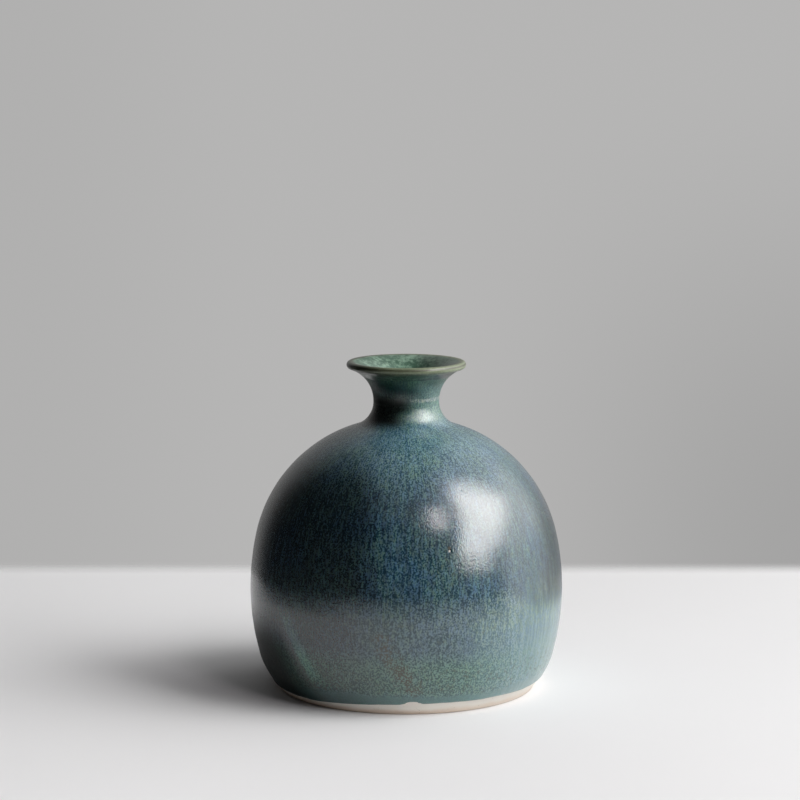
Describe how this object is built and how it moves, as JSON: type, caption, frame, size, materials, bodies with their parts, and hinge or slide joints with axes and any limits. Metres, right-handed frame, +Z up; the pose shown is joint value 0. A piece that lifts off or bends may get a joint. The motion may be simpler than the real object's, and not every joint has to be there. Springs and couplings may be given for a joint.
{
  "type": "bud vase",
  "caption": "Low round stoneware bud vase with a narrow neck and a flared rounded lip, speckled blue-green glaze outside, pale green glaze inside and a bare bevelled foot.",
  "frame": {"origin": "centre of the foot, on the surface that the vase stands on", "axes": "+Z up along the axis that the vase is turned about; X and Y lie in the table's plane, with -Y towards the viewer in the picture"},
  "size_m": [0.1, 0.1, 0.1047],
  "materials": {
    "stoneware": "bare fired clay, matt",
    "liner_glaze": "satin pale green glaze",
    "outer_glaze": "satin blue-green speckled glaze"
  },
  "bodies": {
    "root": {"clay_body": "stoneware", "clay_neck": "stoneware", "liner_glaze": "liner_glaze", "outer_glaze": "outer_glaze"}
  },
  "joints": []
}
